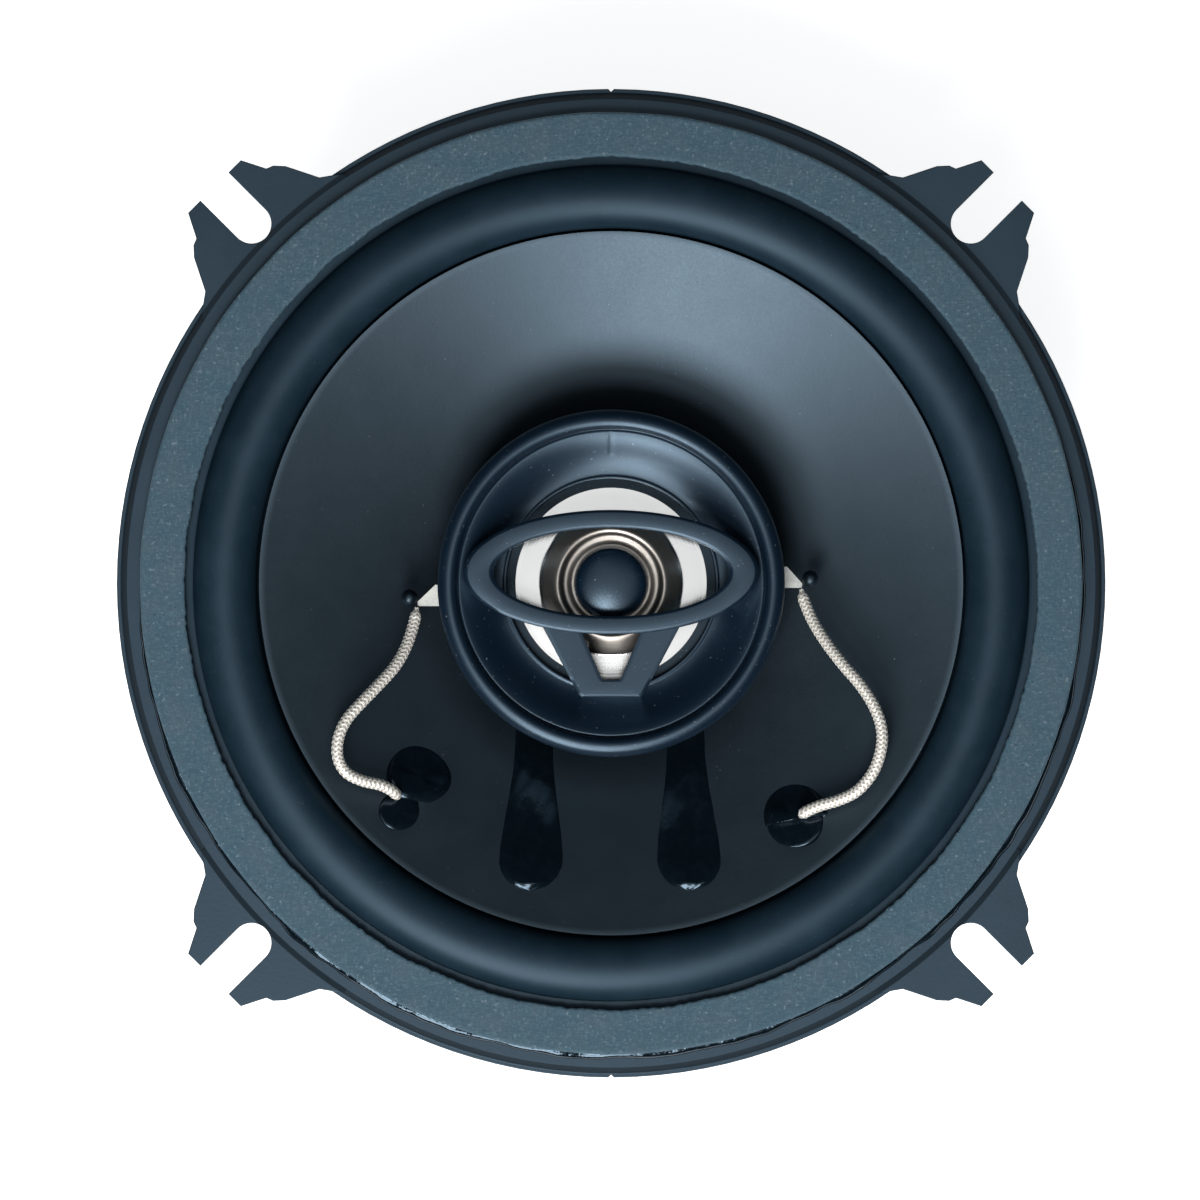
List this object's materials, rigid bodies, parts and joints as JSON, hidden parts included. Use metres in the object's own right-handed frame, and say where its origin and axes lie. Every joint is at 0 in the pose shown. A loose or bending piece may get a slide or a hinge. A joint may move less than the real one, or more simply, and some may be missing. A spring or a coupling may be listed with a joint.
{
  "type": "coaxial car speaker",
  "caption": "Round coaxial car speaker with slotted mounting ears, a rubber-edged cone, and a tweeter pod with an oval guard carried on a post.",
  "frame": {"origin": "centre of the flange's seat plane, where the rim's foot touches the panel", "axes": "+Z along the sounding axis, out of the front; +Y towards the top index notch, away from the terminals"},
  "size_m": [0.13, 0.13, 0.053],
  "materials": {
    "black_steel": "satin black electro-coat on pressed steel",
    "zinc_steel": "bright zinc plate, slightly blued",
    "motor_steel": "black passivated soft steel",
    "ferrite": "ground sintered ferrite, dull dark grey",
    "card": "dyed blue-grey pressed card with pale fibres",
    "glue_black": "cured black adhesive, wet gloss",
    "rubber_black": "smooth satin moulded rubber",
    "cone_black": "satin mineral-filled polypropylene with fine texture",
    "former": "amber varnished paper",
    "copper_wire": "enamelled copper winding",
    "spider_cloth": "resin-stiffened woven cotton, honey coloured",
    "board": "dark phenolic paper board",
    "tin": "tinned brass blade",
    "capacitor_sleeve": "shrunk plastic sleeve, dark blue",
    "tinsel": "braided silver tinsel",
    "pod_plastic": "satin moulded plastic, blue-black",
    "bright_film": "vapour-metallised film",
    "neodymium": "nickel plated"
  },
  "bodies": {
    "frame": {"basket": "black_steel", "basket_rivets": "black_steel", "top_plate": "motor_steel", "magnet": "ferrite", "back_plate": "motor_steel", "gasket": "card", "gasket_adhesive": "glue_black", "surround": "rubber_black", "spider": "spider_cloth", "terminal_board": "board", "board_rivets": "zinc_steel", "positive_terminal": "tin", "negative_terminal": "tin", "terminal_rivets": "zinc_steel", "crossover_capacitor": "capacitor_sleeve", "coil_lead_left": "tinsel", "coil_lead_right": "tinsel", "tweeter_lead_left": "tinsel", "tweeter_lead_right": "tinsel", "front_lead_left": "tinsel", "front_lead_right": "tinsel", "tweeter_post": "pod_plastic", "post_screw": "zinc_steel", "tweeter_cup": "pod_plastic", "tweeter_bezel": "pod_plastic", "tweeter_tab_left": "tin", "tweeter_tab_right": "tin", "tab_beads": "glue_black", "tweeter_yoke": "zinc_steel", "tweeter_magnet": "neodymium", "tweeter_pole_plate": "zinc_steel", "tweeter_clamp_ring": "pod_plastic"},
    "cone_assembly": {"cone": "cone_black", "lead_eyelets": "glue_black", "coil_lead_beads": "glue_black", "neck_adhesive": "glue_black", "coil_former": "former", "coil_winding": "copper_wire"},
    "tweeter_moving": {"tweeter_diaphragm": "bright_film", "tweeter_coil": "copper_wire", "tweeter_cap": "pod_plastic"}
  },
  "joints": [
    {"name": "cone_travel", "type": "slide", "parent": "frame", "child": "cone_assembly", "axis": [0, 0, 1], "range_m": [-0.003, 0.003], "stiffness_N_per_m": 2500, "deforming": ["surround", "spider", "front_lead_left", "front_lead_right", "coil_lead_left", "coil_lead_right", "tweeter_lead_left", "tweeter_lead_right"]},
    {"name": "tweeter_travel", "type": "slide", "parent": "frame", "child": "tweeter_moving", "axis": [0, 0, 1], "range_m": [-0.0003, 0.0003], "stiffness_N_per_m": 2000, "deforming": ["tweeter_diaphragm"]}
  ]
}
